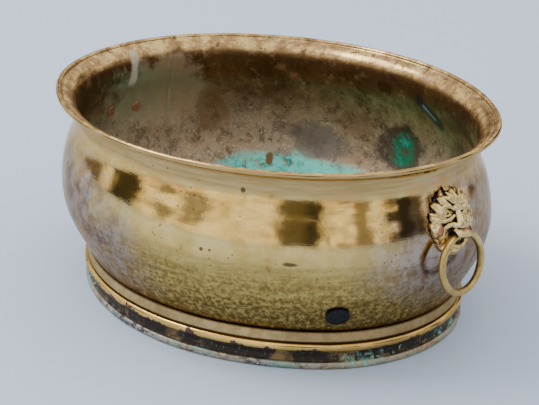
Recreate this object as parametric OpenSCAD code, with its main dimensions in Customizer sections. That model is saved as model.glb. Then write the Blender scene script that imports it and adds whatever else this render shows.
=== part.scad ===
// Oval brass planter pot on a stepped foot, with two lion masks that hold swinging rings.
// Millimetres, +Z up. The origin is on the floor, under the middle of the oval.
// The plan is a four-centred oval: two quarter-turn end arcs about (+-centre, 0) and two
// quarter-turn side arcs about (0, -+centre). All levels share these centres, so a level is
// named by its half length alone, and its half width is always oval_step less.

/* [Pot] */
// Length over the rolled rim
pot_length = 400; // [380:1:420]
// How much shorter each half width is than the half length (values at which the arcs meet exactly)
oval_step = 30.0164; // [27.5807, 29.4015, 30.0164, 31.3616]
// Height of the pot
pot_height = 174.5; // [170:0.5:182]
// Thickness of the sheet brass
sheet = 1; // [0.8:0.1:1.1]

/* [Rim] */
// Radius of the rolled rim
rim_roll_r = 2.3; // [2.2:0.1:2.6]
// Radius of the wire inside the rim roll
rim_wire_r = 1.25; // [1.1:0.05:1.25]

/* [Foot] */
// Height at which the belly meets the foot
foot_height = 31.5; // [30:0.5:33]
// Half length of the belly where it meets the foot
foot_half = 173; // [172:0.5:174]
// Radius of the half-round bead round the foot
foot_bead_r = 3.8; // [3.4:0.1:4]
// Radius of the roll that the pot stands on
foot_roll_r = 3.2; // [3:0.1:3.6]
// Thickness of the floor plate
floor_t = 1.2; // [1:0.1:1.6]

/* [Masks] */
// Height of the middle of each mask
mask_z = 118; // [117:0.5:119]
// Angle of each mask off the long axis, about the end arc's centre
mask_turn = -2.4; // [-4:0.2:4]
// Lean of the right mask, clockwise
mask_lean_right = 12; // [0:1:14]
// Lean of the left mask, clockwise
mask_lean_left = -4; // [-6:1:6]
// Half width of a mask
mask_half_w = 24; // [23:0.5:25]

/* [Rings] */
// Radius of the ring's wire
ring_wire_r = 3; // [2.8:0.1:3]
// Radius of the ring, to the middle of its wire
ring_r = 23.6; // [23:0.2:24.4]
// Lean of a hanging ring, outwards
ring_lean = 7; // [4:1:9]

/* [Drain plug] */
// Radius of the drain hole
drain_r = 7.05; // [6.5:0.05:7.5]
// Radius of the plug's head
plug_head_r = 9.8; // [9.4:0.1:10.4]

/* [Hidden] */
$fn = 96;

brass = "#b58f3f";
dull_brass = "#8d7746";
steel = "#7d7a74";
copper = "#a8583a";
black_rubber = "#151515";

// the oval: its four arcs meet smoothly on the diagonals when their centres are here
centre = oval_step / (2 - sqrt(2));

// the wall's curve, as half lengths against heights
belly_half = 197;
belly_z = 94;
cone_angle = 28.8;
cone_top_z = 58;
low_arc_r = (belly_z - cone_top_z) / sin(cone_angle);
high_arc_r = 97;
shoulder_angle = 24.4;
neck_arc_r = 55.7;
neck_half = belly_half - (high_arc_r + neck_arc_r) * (1 - cos(shoulder_angle));
neck_z = belly_z + (high_arc_r + neck_arc_r) * sin(shoulder_angle);
rim_half = pot_length / 2 - rim_roll_r;
rim_z = pot_height - rim_roll_r;
flare_r = 13.5;
flare_angle = 78;
skirt_z = 24.5;
arc_steps = 8;
drum_bottom = belly_z - 12;
drum_steps = 4;
drum_gap = 0.15;

// the foot's section
foot_gap = 0.1;
band_in = foot_half + foot_gap;
band_flare = 1.3;
band_chamfer = 0.6;
bead_half = foot_half + 1.5;
bead_z = 18.8;
cove_half = foot_half + 0.9;
cove_r = 3.1;
cove_depth = 1.6;
roll_half = foot_half + 1.5;
roll_z = foot_roll_r - 0.1;
foot_wire_r = foot_roll_r - sheet - 0.05;

// the floor plate
floor_half = foot_half - sheet - 0.05;
floor_top = foot_height - 1;

// the masks and rings, seen from an end: x outwards, y to the right, z up
mask_top = 29;
mask_bottom = 24;
plate_t = 3.2;
plate_x = 178;
pivot_z = 112.5;
pivot_x = 205;
mouth_r = 4.6;
muzzle_half_w = 6.4;
muzzle_r = 6.4;
muzzle_half_h = 5.5;
muzzle_back = 14;
knob = 1.1;
cheek_x = 196.5;
cheek_r = 4.8;
face_x = 178;
face_r = 25;
brow_in = [198, 5, 14];
brow_out = [195, 13, 16];
brow_r = 3.4;
nose_top = [198, 0, 14];
nose_tip = [204.5, 0, 4];
nose_r = 4.2;
chin_x = 199;
chin_v = -15;
chin_r = 6;
cheek_u = 11.5;
cheek_v = -2;
lock_x = 191;
lock_u = 19;
lock_v = 21.5;
lock_r = 4.6;
lock_step = 36;
rivet_u = 15.5;
rivet_v = -4.8;
rivet_r = 2.5;
rivet_head_r = 5.2;
rivet_head_t = 1.3;
rivet_head_gap = 0.2;
rivet_end_r = 3.6;
rivet_end_t = 1.2;
rivet_seat = 4.6;
rivet_seat_r = 4.2;
fit_gap = 0.05;

// the drain hole
drain_angle = -41;
drain_z = 51.2;
plug_gap = 0.35;
plug_depth = 8;
plug_taper = 4;
plug_edge_r = 0.9;
plug_nib_r = 0.9;
drain_half = belly_half - low_arc_r * (1 - cos(cone_angle)) - (cone_top_z - drain_z) * tan(cone_angle);

// points on an arc, from one direction to another
function arc(cx, cz, r, from, to, steps = arc_steps) =
    [for (i = [0:steps]) let (t = from + (to - from) * i / steps) [cx + r * cos(t), cz + r * sin(t)]];

// the wall's curve from the foot to the rim, set inwards by a distance
function wall_curve(inset, bottom = foot_height) = concat(
    [[cone_half(bottom) - inset / cos(cone_angle), bottom]],
    arc(belly_half - low_arc_r, belly_z, low_arc_r - inset, -cone_angle, 0),
    arc(belly_half - high_arc_r, belly_z, high_arc_r - inset, shoulder_angle / arc_steps, shoulder_angle),
    arc(neck_half + neck_arc_r, neck_z, neck_arc_r + inset, 180 + shoulder_angle * (1 - 1 / arc_steps), 180),
    arc(neck_half + flare_r, neck_z, flare_r + inset, 180 - flare_angle / arc_steps, 180 - flare_angle));

// half length of the cone that the belly rises from
function cone_half(z) =
    belly_half - low_arc_r * (1 - cos(cone_angle)) - (cone_top_z - z) * tan(cone_angle);

// half length of the wall above the belly
function shoulder_half(z) = belly_half - high_arc_r + sqrt(high_arc_r * high_arc_r - pow(z - belly_z, 2));

// a section, drawn as half lengths against heights, carried round the oval
module round_oval() {
    for (turn = [0, 180]) {
        rotate([0, 0, turn]) {
            translate([centre, 0, 0])
                rotate_extrude(angle = 90, start = -45)
                    translate([-centre, 0]) children();
            translate([0, -centre, 0])
                rotate_extrude(angle = 90, start = 45)
                    translate([centre - oval_step, 0]) children();
        }
    }
}

// the flat oval of a half length
module flat_oval(half) {
    end_r = half - centre;
    side_r = half - oval_step + centre;
    join_x = centre + end_r * cos(45);
    for (side = [-1, 1]) {
        translate([side * centre, 0]) circle(r = end_r);
    }
    intersection() {
        translate([0, -centre]) circle(r = side_r);
        translate([0, centre]) circle(r = side_r);
        square([2 * join_x, 2 * side_r], center = true);
    }
}

// the end wall's outer face behind a mask, as a drum grown outwards
module end_drum(grow) {
    translate([centre, 0, 0])
        rotate_extrude()
            translate([-centre, 0])
                polygon(concat(
                    [[centre, drum_bottom], [belly_half - 1 + grow, drum_bottom]],
                    arc(belly_half - high_arc_r, belly_z, high_arc_r + grow, 0, shoulder_angle, drum_steps),
                    arc(neck_half + neck_arc_r, neck_z, neck_arc_r - grow, 180 + shoulder_angle / 2, 180, 2),
                    [[centre, neck_z]]));
}

// carries a child drawn at the +X end to its place at either end
module at_end(turn) {
    rotate([0, 0, turn])
        translate([centre, 0, 0])
            rotate([0, 0, mask_turn])
                translate([-centre, 0, 0]) children();
}

// the drain hole's axis: +Z of the child points out of the pot
module at_drain() {
    translate([centre, 0, 0])
        rotate([0, 0, drain_angle])
            translate([drain_half - centre, 0, drain_z])
                rotate([0, 90 + cone_angle, 0]) children();
}

// one rivet's axis: +Z of the child points out of the pot, from the wall's outer face
module at_rivet(side, lean) {
    y = side * rivet_u * cos(lean) + rivet_v * sin(lean);
    z = mask_z - side * rivet_u * sin(lean) + rivet_v * cos(lean);
    half = shoulder_half(z);
    tilt = asin((z - belly_z) / high_arc_r);
    translate([centre, 0, 0])
        rotate([0, 0, y / (half - centre) * 180 / PI])
            translate([half - centre, 0, z])
                rotate([0, 90 - tilt, 0]) children();
}

module wall_section() {
    outside = wall_curve(0);
    inside = wall_curve(sheet);
    difference() {
        union() {
            polygon(concat(
                [[foot_half, skirt_z], [foot_half, foot_height]],
                outside,
                [[rim_half, rim_z - 1.2], [rim_half, rim_z - 0.2]],
                [for (i = [len(inside) - 1:-1:0]) inside[i]],
                [[foot_half - sheet, skirt_z]]));
            translate([rim_half, rim_z]) circle(r = rim_roll_r);
        }
        translate([rim_half, rim_z]) circle(r = rim_wire_r + fit_gap);
    }
}

// raised sheet wall, from the skirt inside the foot to the rolled rim
module body_shell() {
    color(brass)
        difference() {
            round_oval() wall_section();
            at_drain()
                translate([0, 0, -8]) cylinder(r = drain_r, h = 16);
            rivet_holes();
        }
}

module rivet_holes() {
    for (side = [-1, 1]) {
        at_end(0) at_rivet(side, mask_lean_right)
            translate([0, 0, -4]) cylinder(r = rivet_r + fit_gap, h = 8);
        at_end(180) at_rivet(side, mask_lean_left)
            translate([0, 0, -4]) cylinder(r = rivet_r + fit_gap, h = 8);
    }
}

module rim_wire() {
    color(steel)
        round_oval()
            translate([rim_half, rim_z]) circle(r = rim_wire_r);
}

module foot_section() {
    bead_in_r = foot_bead_r - sheet;
    difference() {
        union() {
            // upright band that hides the joint with the belly
            polygon([
                [band_in, bead_z + bead_in_r],
                [band_in, foot_height - band_chamfer],
                [band_in + band_chamfer, foot_height],
                [band_in + sheet + 0.2, foot_height - 0.3],
                [band_in + band_flare + sheet, bead_z + foot_bead_r + 1],
                [band_in + sheet, bead_z + foot_bead_r]]);
            // half-round bead
            difference() {
                translate([bead_half, bead_z]) circle(r = foot_bead_r);
                translate([bead_half, bead_z]) circle(r = bead_in_r);
                translate([band_in - 8, bead_z - 6]) square([8, 12]);
            }
            // hollow between the bead and the roll
            polygon(concat(
                [[cove_half - sheet, bead_z - bead_in_r], [cove_half + sheet, bead_z - bead_in_r - 0.4]],
                arc(cove_half + sheet + cove_depth, (bead_z + roll_z) / 2, cove_r, 120, 240, 6),
                [[cove_half + sheet, roll_z + foot_roll_r - 1]],
                [[cove_half - sheet, roll_z + foot_roll_r - 1]]));
            translate([roll_half, roll_z]) circle(r = foot_roll_r);
        }
        translate([roll_half, roll_z]) circle(r = foot_wire_r + fit_gap);
        translate([roll_half - 8, -8]) square([16, 8]);
    }
}

module foot_ring() {
    color(dull_brass)
        round_oval() foot_section();
}

module foot_wire() {
    color(steel)
        round_oval()
            translate([roll_half, roll_z]) circle(r = foot_wire_r);
}

// floor with a turned-down edge, set inside the skirt
module base_plate() {
    color(dull_brass)
        difference() {
            translate([0, 0, skirt_z])
                linear_extrude(floor_top - skirt_z) flat_oval(floor_half);
            translate([0, 0, skirt_z - 1])
                linear_extrude(floor_top - floor_t - skirt_z + 1) flat_oval(floor_half - floor_t);
        }
}

// shield outline of a mask: broad at the cheeks, narrowing to the chin
module mask_outline() {
    steps = 32;
    polygon([for (i = [0:steps - 1])
        let (t = 360 * i / steps, down = max(0, -sin(t)))
        [mask_half_w * cos(t) * (1 - 0.22 * down), (down > 0 ? mask_bottom : mask_top) * sin(t)]]);
}

// a point on the other side of the mask's middle, when side is -1
function mirrored(p, side) = [p[0], side * p[1], p[2]];

// a knob-ended bar between two points
module bar(p, q, r) {
    v = q - p;
    translate(p) sphere(r = r * knob);
    translate(q) sphere(r = r * knob);
    translate(p)
        rotate([0, acos(v[2] / norm(v)), atan2(v[1], v[0])])
            cylinder(r = r, h = norm(v));
}

// face, mane and muzzle, drawn round the mask's middle with x measured from the axis
module mask_form() {
    intersection() {
        translate([0, 0, -mask_z]) end_drum(plate_t);
        translate([plate_x, 0, 0])
            rotate([90, 0, 90])
                linear_extrude(30) mask_outline();
    }
    // domed face
    translate([face_x, 0, 0]) sphere(r = face_r);
    // brows and cheeks
    for (side = [-1, 1]) {
        bar(mirrored(brow_in, side), mirrored(brow_out, side), brow_r);
        translate([cheek_x, side * cheek_u, cheek_v]) sphere(r = cheek_r);
    }
    // nose and chin
    bar(nose_top, nose_tip, nose_r);
    translate([chin_x, 0, chin_v]) sphere(r = chin_r);
    // locks of the mane
    for (t = [-54:lock_step:234]) {
        translate([lock_x, lock_u * cos(t), lock_v * sin(t)]) sphere(r = lock_r);
    }
}

module mask(lean) {
    difference() {
        union() {
            translate([0, 0, mask_z])
                rotate([lean * -1, 0, 0]) mask_form();
            // muzzle round the ring, level with its pivot
            translate([pivot_x, -muzzle_half_w, pivot_z])
                rotate([-90, 0, 0]) cylinder(r = muzzle_r, h = 2 * muzzle_half_w);
            translate([pivot_x - muzzle_back, 0.2 - muzzle_half_w, pivot_z - muzzle_half_h])
                cube([muzzle_back, 2 * muzzle_half_w - 0.4, 2 * muzzle_half_h]);
        }
        end_drum(drum_gap);
        translate([pivot_x, -20, pivot_z])
            rotate([-90, 0, 0]) cylinder(r = mouth_r, h = 40);
    }
}

module mask_with_holes(lean) {
    difference() {
        mask(lean);
        for (side = [-1, 1]) {
            at_rivet(side, lean) {
                translate([0, 0, -4]) cylinder(r = rivet_r + fit_gap, h = 30);
                translate([0, 0, rivet_seat]) cylinder(r = rivet_seat_r, h = 20);
            }
        }
    }
}

module mask_right() {
    color(brass) at_end(0) mask_with_holes(mask_lean_right);
}

module mask_left() {
    color(brass) at_end(180) mask_with_holes(mask_lean_left);
}

module ring() {
    translate([pivot_x, 0, pivot_z])
        rotate([0, -ring_lean, 0])
            translate([0, 0, -ring_r])
                rotate([0, 90, 0])
                    rotate_extrude() translate([ring_r, 0]) circle(r = ring_wire_r);
}

module ring_right() {
    color(brass) at_end(0) ring();
}

module ring_left() {
    color(brass) at_end(180) ring();
}

// rivet with a flat head inside the pot and a peened end on the mask's cheek
module rivet(side, lean) {
    head_z = -sheet - rivet_head_gap;
    end_dome_r = (rivet_end_r * rivet_end_r + rivet_end_t * rivet_end_t) / (2 * rivet_end_t);
    color(copper)
        at_rivet(side, lean) {
            translate([0, 0, head_z - rivet_head_t]) cylinder(r = rivet_head_r, h = rivet_head_t);
            translate([0, 0, head_z - 0.2]) cylinder(r = rivet_r, h = rivet_seat - head_z + 0.4);
            intersection() {
                translate([0, 0, rivet_seat + fit_gap]) cylinder(r = rivet_end_r, h = rivet_end_t);
                translate([0, 0, rivet_seat + fit_gap + rivet_end_t - end_dome_r]) sphere(r = end_dome_r);
            }
        }
}

module rivet_right_near() {
    at_end(0) rivet(-1, mask_lean_right);
}

module rivet_right_far() {
    at_end(0) rivet(1, mask_lean_right);
}

module rivet_left_near() {
    at_end(180) rivet(1, mask_lean_left);
}

module rivet_left_far() {
    at_end(180) rivet(-1, mask_lean_left);
}

// rubber stopper: round head outside, stem that fits the hole, tapered nose inside
module drain_plug() {
    stem_r = drain_r - fit_gap;
    color(black_rubber)
        at_drain()
            rotate_extrude()
                polygon(concat(
                    [[0, -plug_depth], [stem_r - 1.2, -plug_depth], [stem_r, -plug_taper]],
                    [[stem_r, plug_gap], [plug_head_r - 0.3, plug_gap]],
                    arc(plug_head_r - plug_edge_r, plug_gap + plug_edge_r, plug_edge_r, -30, 90, 6),
                    [[plug_head_r - 2.2, plug_gap + 1.7], [1.6, plug_gap + 1.2]],
                    arc(0, plug_gap + 1.1, plug_nib_r, 30, 90, 4)));
}

body_shell();
rim_wire();
foot_ring();
foot_wire();
base_plate();
mask_right();
mask_left();
ring_right();
ring_left();
rivet_right_near();
rivet_right_far();
rivet_left_near();
rivet_left_far();
drain_plug();
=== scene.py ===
"""Oval brass planter pot: its finishes, hand-made surfaces, lion masks, rings, rivets and plug.

Lengths are millimetres until a mesh is made, in the frame's axes. The plan is a four-centred oval, whose
levels are named by their half length alone, as in the CAD part.
"""

import math

import bpy
import numpy as np
from mathutils import Matrix, Vector


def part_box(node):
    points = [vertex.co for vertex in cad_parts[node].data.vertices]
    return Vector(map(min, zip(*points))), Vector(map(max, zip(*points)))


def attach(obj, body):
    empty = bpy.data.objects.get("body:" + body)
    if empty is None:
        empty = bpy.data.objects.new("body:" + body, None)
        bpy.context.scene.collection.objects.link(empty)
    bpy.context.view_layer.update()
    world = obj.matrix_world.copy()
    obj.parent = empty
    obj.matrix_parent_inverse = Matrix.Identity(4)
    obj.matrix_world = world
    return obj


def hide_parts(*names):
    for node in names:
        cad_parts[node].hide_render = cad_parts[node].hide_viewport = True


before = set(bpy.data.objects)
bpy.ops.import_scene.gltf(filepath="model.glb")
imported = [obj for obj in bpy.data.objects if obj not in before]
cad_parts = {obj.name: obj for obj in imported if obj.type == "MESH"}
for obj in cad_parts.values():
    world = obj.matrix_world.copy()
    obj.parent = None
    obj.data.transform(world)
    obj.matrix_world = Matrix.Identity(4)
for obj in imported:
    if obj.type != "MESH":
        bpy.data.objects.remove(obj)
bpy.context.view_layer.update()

MM = 0.001


def cad_corners(node):
    """The lowest and highest corner of a CAD node, in millimetres."""
    low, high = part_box(node)
    return np.array(low) / MM, np.array(high) / MM


# the oval, from the frame
wall_low, wall_high = cad_corners("body_shell")
half_length = wall_high[0]
oval_step = wall_high[0] - wall_high[1]
centre = oval_step / (2 - math.sqrt(2))
pot_height = wall_high[2]

# the wall's curve
sheet = 1.0
belly_half = 197.0
belly_z = 94.0
cone_angle = 28.8
cone_top_z = 58.0
low_arc_r = (belly_z - cone_top_z) / math.sin(math.radians(cone_angle))
high_arc_r = 97.0
shoulder_angle = 24.4
neck_arc_r = 55.7
neck_half = belly_half - (high_arc_r + neck_arc_r) * (1 - math.cos(math.radians(shoulder_angle)))
neck_z = belly_z + (high_arc_r + neck_arc_r) * math.sin(math.radians(shoulder_angle))
rim_roll_r = 2.3
rim_half = half_length - rim_roll_r
rim_z = pot_height - rim_roll_r
flare_r = 13.5
flare_angle = 78.0
skirt_z = wall_low[2]

# the foot
foot_height = 31.5
foot_half = 173.0
foot_roll_r = 3.2
roll_half = foot_half + 1.5
roll_z = foot_roll_r - 0.1
bead_r = 3.8
bead_half = foot_half + 1.5
bead_z = 18.8

# masks, rings and rivets
mask_z = 118.0
mask_turn = -2.4
mask_lean = {"right": 12.0, "left": -4.0}
mask_half_w = 24.0
mask_top = 29.0
mask_bottom = 24.0
pivot_z = 112.5
pivot_x = 205.0
ring_r = 23.6
ring_wire_r = 3.0
ring_lean = 7.0
ring_joint = 232.0
ring_swing = (-19.5, 181.5)
ring_clearance = 0.42
lip_reach = 5.3
clay_step = 0.3
rivet_u = 15.5
rivet_v = -4.8
rivet_seat = 4.6

# the drain hole and its plug
drain_angle = -41.0
drain_z = 51.2
drain_r = 7.05
drain_cut = 8.0
plug_head_r = 9.8
plug_gap = 0.35

# the brazed seam of the wall: its direction round the left end's centre and its width in degrees
seam_turn = 158.4
seam_width = 0.5
seam_ridge_inside = 0.55
seam_ridge_outside = 0.12

# how far in the hand-made unevenness of the wall and the foot reaches
hammer_depth = 0.22
dent_depth = 0.30


# ---------------------------------------------------------------- curves

def arc(cx, cz, radius, start, end, steps):
    """Points on an arc between two directions in degrees."""
    turns = np.radians(np.linspace(start, end, steps + 1))
    return np.column_stack([cx + radius * np.cos(turns), cz + radius * np.sin(turns)])


def line(a, b, steps):
    """Points from a to b."""
    t = np.linspace(0, 1, steps + 1)[:, None]
    return np.array(a) * (1 - t) + np.array(b) * t


def joined(*runs):
    """Runs of points as one, without repeats where they meet."""
    points = np.vstack(runs)
    far = np.linalg.norm(np.diff(points, axis=0), axis=1) > 0.02
    return points[np.concatenate([[True], far])]


def cone_half(z):
    """Half length of the cone that the belly rises from."""
    return (belly_half - low_arc_r * (1 - math.cos(math.radians(cone_angle)))
            - (cone_top_z - z) * math.tan(math.radians(cone_angle)))


def wall_half(z):
    """Half length of the wall's outer face at any height between the belly's middle and the neck."""
    z = np.asarray(z, float)
    bend = neck_z - neck_arc_r * math.sin(math.radians(shoulder_angle))
    dome = belly_half - high_arc_r + np.sqrt(high_arc_r ** 2 - np.clip(z - belly_z, -60, 60) ** 2)
    neck = neck_half + neck_arc_r - np.sqrt(neck_arc_r ** 2 - np.clip(neck_z - z, 0, neck_arc_r) ** 2)
    return np.where(z < bend, dome, neck)


def wall_side(inset):
    """One face of the wall from its skirt to the rim roll, as half lengths against heights."""
    slope = math.cos(math.radians(cone_angle))
    return joined(
        line([foot_half - inset, skirt_z], [foot_half - inset, foot_height], 3),
        line([cone_half(foot_height) - inset / slope, foot_height],
             [cone_half(cone_top_z) - inset * slope, cone_top_z + inset * 0.48], 10),
        arc(belly_half - low_arc_r, belly_z, low_arc_r - inset, -cone_angle, 0, 20),
        arc(belly_half - high_arc_r, belly_z, high_arc_r - inset, 0, shoulder_angle, 22),
        arc(neck_half + neck_arc_r, neck_z, neck_arc_r + inset, 180 + shoulder_angle, 180, 14),
        arc(neck_half + flare_r, neck_z, flare_r + inset, 180, 180 - flare_angle, 16))


def wall_section():
    """The wall's whole section, and how many of its points belong to the outside."""
    outside = wall_side(0)
    bead = arc(rim_half, rim_z, rim_roll_r, -150, 186, 30)
    inside = wall_side(sheet)[::-1]
    return joined(outside, bead, inside), len(outside) + 6


def foot_section():
    """The foot's whole section, and how many of its points belong to the outside."""
    top = foot_half + 0.1
    outside = joined(
        line([top, foot_height + 0.6], [top + 1, foot_height - 0.1], 2),
        line([top + 1.1, foot_height - 0.6], [top + 2.3, bead_z + bead_r + 1.4], 6),
        line([top + 2.2, bead_z + bead_r + 0.8], [top + 1.2, bead_z + bead_r + 0.1], 2),
        arc(bead_half, bead_z, bead_r, 84, -84, 18),
        line([top + 1.0, bead_z - bead_r - 0.3], [top + 0.5, bead_z - bead_r - 1.2], 2),
        arc(top + 3.4, (bead_z + roll_z) / 2, 3.3, 150, 210, 8),
        line([top + 0.6, roll_z + foot_roll_r + 0.5], [top + 1.0, roll_z + foot_roll_r + 0.1], 2),
        arc(roll_half, roll_z, foot_roll_r, 84, -76, 20))
    inside = joined(
        arc(roll_half, roll_z, foot_roll_r, -104, -215, 12),
        line([top - 0.1, roll_z + 3.2], [top - 0.1, bead_z - 3.4], 5),
        arc(bead_half, bead_z, bead_r - sheet, -62, 62, 8),
        line([top, bead_z + 3.4], [top, foot_height + 0.2], 4))
    section = joined(outside, inside)
    section[:, 1] = np.maximum(section[:, 1], 0.02)
    return section, len(outside)


def oval_turns(per_end=104, per_side=150):
    """Directions round the oval, closer together at the seam."""
    turns = []
    for start, count in ((-45, per_end), (45, per_side), (135, per_end), (225, per_side)):
        turns += list(np.linspace(start, start + 90, count, endpoint=False))
    turns += [seam_turn + t for t in (-1.1, -0.75, -0.5, -0.25, 0, 0.25, 0.5, 0.75, 1.1)]
    return np.array(sorted(turns))


def on_oval(turn, half):
    """Places round the oval at a half length, for directions in degrees."""
    turn = np.asarray(turn, float)
    side = np.round(turn / 90).astype(int) % 4
    cx = np.select([side == 0, side == 2], [centre, -centre], 0)
    cy = np.select([side == 1, side == 3], [-centre, centre], 0)
    radius = np.where(side % 2 == 0, half - centre, half - oval_step + centre)
    t = np.radians(turn)
    return cx + radius * np.cos(t), cy + radius * np.sin(t)


# ---------------------------------------------------------------- meshes

def waves(seed, along, up, count=14):
    """A smooth uneven field between -1 and 1 over directions (degrees) and heights (mm)."""
    draw = np.random.default_rng(seed)
    total = np.zeros(np.broadcast(along, up).shape)
    weight = 0
    for _ in range(count):
        cycles = draw.integers(2, 17)
        height = draw.uniform(28, 110)
        strength = 1 / (1 + cycles / 7)
        total += strength * np.sin(np.radians(along) * cycles + draw.uniform(0, 6.3)) * np.sin(
            up / height * 2 * np.pi + draw.uniform(0, 6.3))
        weight += strength
    return np.clip(total / weight * 2.6, -1, 1)


def ease(x, low, high):
    """0 below low, 1 above high, smooth between."""
    t = np.clip((x - low) / (high - low), 0, 1)
    return t * t * (3 - 2 * t)


def grid_faces(rings, around, closed_rings=True):
    """Quads of a grid of rings x around, closed the second way and perhaps the first."""
    i = np.arange(rings if closed_rings else rings - 1)[:, None]
    j = np.arange(around)[None, :]
    nxt = (i + 1) % rings
    right = (j + 1) % around
    quads = np.stack([i * around + j, i * around + right, nxt * around + right, nxt * around + j], axis=-1)
    return quads.reshape(-1, 4)


def piece(name, points, faces, body, stands_for=(), materials=(), face_slots=None):
    """A smooth-shaded mesh piece from points in millimetres, riding on a body."""
    mesh = bpy.data.meshes.new(name)
    if isinstance(faces, np.ndarray):
        faces = faces.tolist()
    mesh.from_pydata((np.asarray(points) * MM).tolist(), [], faces)
    mesh.validate()
    mesh.update()
    for material in materials:
        mesh.materials.append(material)
    if face_slots is not None:
        mesh.polygons.foreach_set("material_index", np.asarray(face_slots, np.int32))
    mesh.shade_smooth()
    made = bpy.data.objects.new(name, mesh)
    bpy.context.scene.collection.objects.link(made)
    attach(made, body)
    if stands_for:
        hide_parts(*stands_for)
    return made


def turned(section, around, wobble=None):
    """Points and faces of a section (radius, height) turned about its own axis, with closed poles."""
    section = np.asarray(section, float)
    t = np.linspace(0, 2 * np.pi, around, endpoint=False)
    radius = section[:, 0][:, None] * np.ones(around)
    height = section[:, 1][:, None] * np.ones(around)
    if wobble is not None:
        radius, height = wobble(radius, height, t[None, :])
    points = np.stack([radius * np.cos(t), radius * np.sin(t), height], axis=-1).reshape(-1, 3)
    faces = [list(q) for q in grid_faces(len(section), around, closed_rings=False)]
    low, high = len(points), len(points) + 1
    points = np.vstack([points, [0, 0, height[0].mean()], [0, 0, height[-1].mean()]])
    last = (len(section) - 1) * around
    for j in range(around):
        nxt = (j + 1) % around
        faces.append([low, nxt, j])
        faces.append([high, last + j, last + nxt])
    return points, faces


# ---------------------------------------------------------------- places on the pot

def rot_z(degrees):
    """A turn about Z."""
    return np.array(Matrix.Rotation(math.radians(degrees), 4, "Z"))


def rot_y(degrees):
    """A turn about Y."""
    return np.array(Matrix.Rotation(math.radians(degrees), 4, "Y"))


def shift(x, y, z):
    """A shift along the axes."""
    return np.array(Matrix.Translation(Vector((x, y, z))))


def moved(points, matrix):
    """Points carried by a 4x4 matrix."""
    points = np.asarray(points, float)
    return points @ matrix[:3, :3].T + matrix[:3, 3]


def at_end(side):
    """Carries a shape drawn at the +X end to its place at either end."""
    turn = 0 if side == "right" else 180
    return rot_z(turn) @ shift(centre, 0, 0) @ rot_z(mask_turn) @ shift(-centre, 0, 0)


def at_rivet(side, sign):
    """A rivet's axis: +Z points out of the pot, from the wall's outer face."""
    lean = math.radians(mask_lean[side])
    y = sign * rivet_u * math.cos(lean) + rivet_v * math.sin(lean)
    z = mask_z - sign * rivet_u * math.sin(lean) + rivet_v * math.cos(lean)
    half = float(wall_half(z))
    tilt = math.degrees(math.asin((z - belly_z) / high_arc_r))
    turn = math.degrees(y / (half - centre))
    return (at_end(side) @ shift(centre, 0, 0) @ rot_z(turn) @ shift(half - centre, 0, z)
            @ rot_y(90 - tilt))


def at_drain():
    """The drain hole's axis: +Z points out of the pot."""
    half = cone_half(drain_z)
    return (shift(centre, 0, 0) @ rot_z(drain_angle) @ shift(half - centre, 0, drain_z)
            @ rot_y(90 + cone_angle))


# ---------------------------------------------------------------- node trees

class Nodes:
    """A node tree, with short calls for its steps. A source is another step's output, or a constant."""

    def __init__(self, tree, coordinates):
        self.tree = tree
        self.tree.nodes.clear()
        self.place = self.node("ShaderNodeTexCoord").outputs[coordinates]

    def node(self, kind, **settings):
        made = self.tree.nodes.new(kind)
        for key, value in settings.items():
            setattr(made, key, value)
        return made

    def join(self, source, target):
        """Links an output, or sets a constant."""
        if isinstance(source, bpy.types.NodeSocket):
            self.tree.links.new(source, target)
        else:
            target.default_value = source

    def math(self, operation, a, b=0.0, clamp=False):
        made = self.node("ShaderNodeMath", operation=operation, use_clamp=clamp)
        self.join(a, made.inputs[0])
        self.join(b, made.inputs[1])
        return made.outputs[0]

    def times(self, value, *others):
        """The product of some values."""
        for other in others:
            value = self.math("MULTIPLY", value, other)
        return value

    def most(self, a, b):
        """The larger of two values."""
        return self.math("MAXIMUM", a, b)

    def stray(self, value, noise, amount):
        """A value that strays up and down with a noise."""
        return self.math("ADD", value, self.times(self.math("SUBTRACT", noise, 0.5), amount))

    def vector(self, operation, a, b=(0, 0, 0)):
        """A step of vector maths, and its number where the step gives one."""
        made = self.node("ShaderNodeVectorMath", operation=operation)
        self.join(a, made.inputs[0])
        self.join(b, made.inputs[1])
        return made.outputs["Value" if operation in ("LENGTH", "DISTANCE", "DOT_PRODUCT") else "Vector"]

    def axes(self):
        """The place's three coordinates."""
        made = self.node("ShaderNodeSeparateXYZ")
        self.join(self.place, made.inputs[0])
        return made.outputs[:]

    def noise(self, scale, detail, roughness, distortion=0.0, vector=None):
        made = self.node("ShaderNodeTexNoise")
        self.join(vector or self.place, made.inputs["Vector"])
        made.inputs["Scale"].default_value = scale
        made.inputs["Detail"].default_value = detail
        made.inputs["Roughness"].default_value = roughness
        made.inputs["Distortion"].default_value = distortion
        return made.outputs[0]

    def fade(self, value, low, high, to_low=0.0, to_high=1.0):
        """to_low below low, to_high above high (or the other way round), smooth between."""
        made = self.node("ShaderNodeMapRange", interpolation_type="SMOOTHSTEP")
        if low > high:
            low, high, to_low, to_high = high, low, to_high, to_low
        self.join(value, made.inputs["Value"])
        made.inputs["From Min"].default_value = low
        made.inputs["From Max"].default_value = high
        made.inputs["To Min"].default_value = to_low
        made.inputs["To Max"].default_value = to_high
        return made.outputs["Result"]

    def mix(self, a, b, *shares):
        """Colour a where the product of the shares is 0, b where it is 1."""
        made = self.node("ShaderNodeMix", data_type="RGBA")
        self.join(self.times(*shares), made.inputs[0])
        for socket, colour in ((made.inputs[6], a), (made.inputs[7], b)):
            self.join(colour if isinstance(colour, bpy.types.NodeSocket) else (*colour, 1.0), socket)
        return made.outputs[2]


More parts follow.
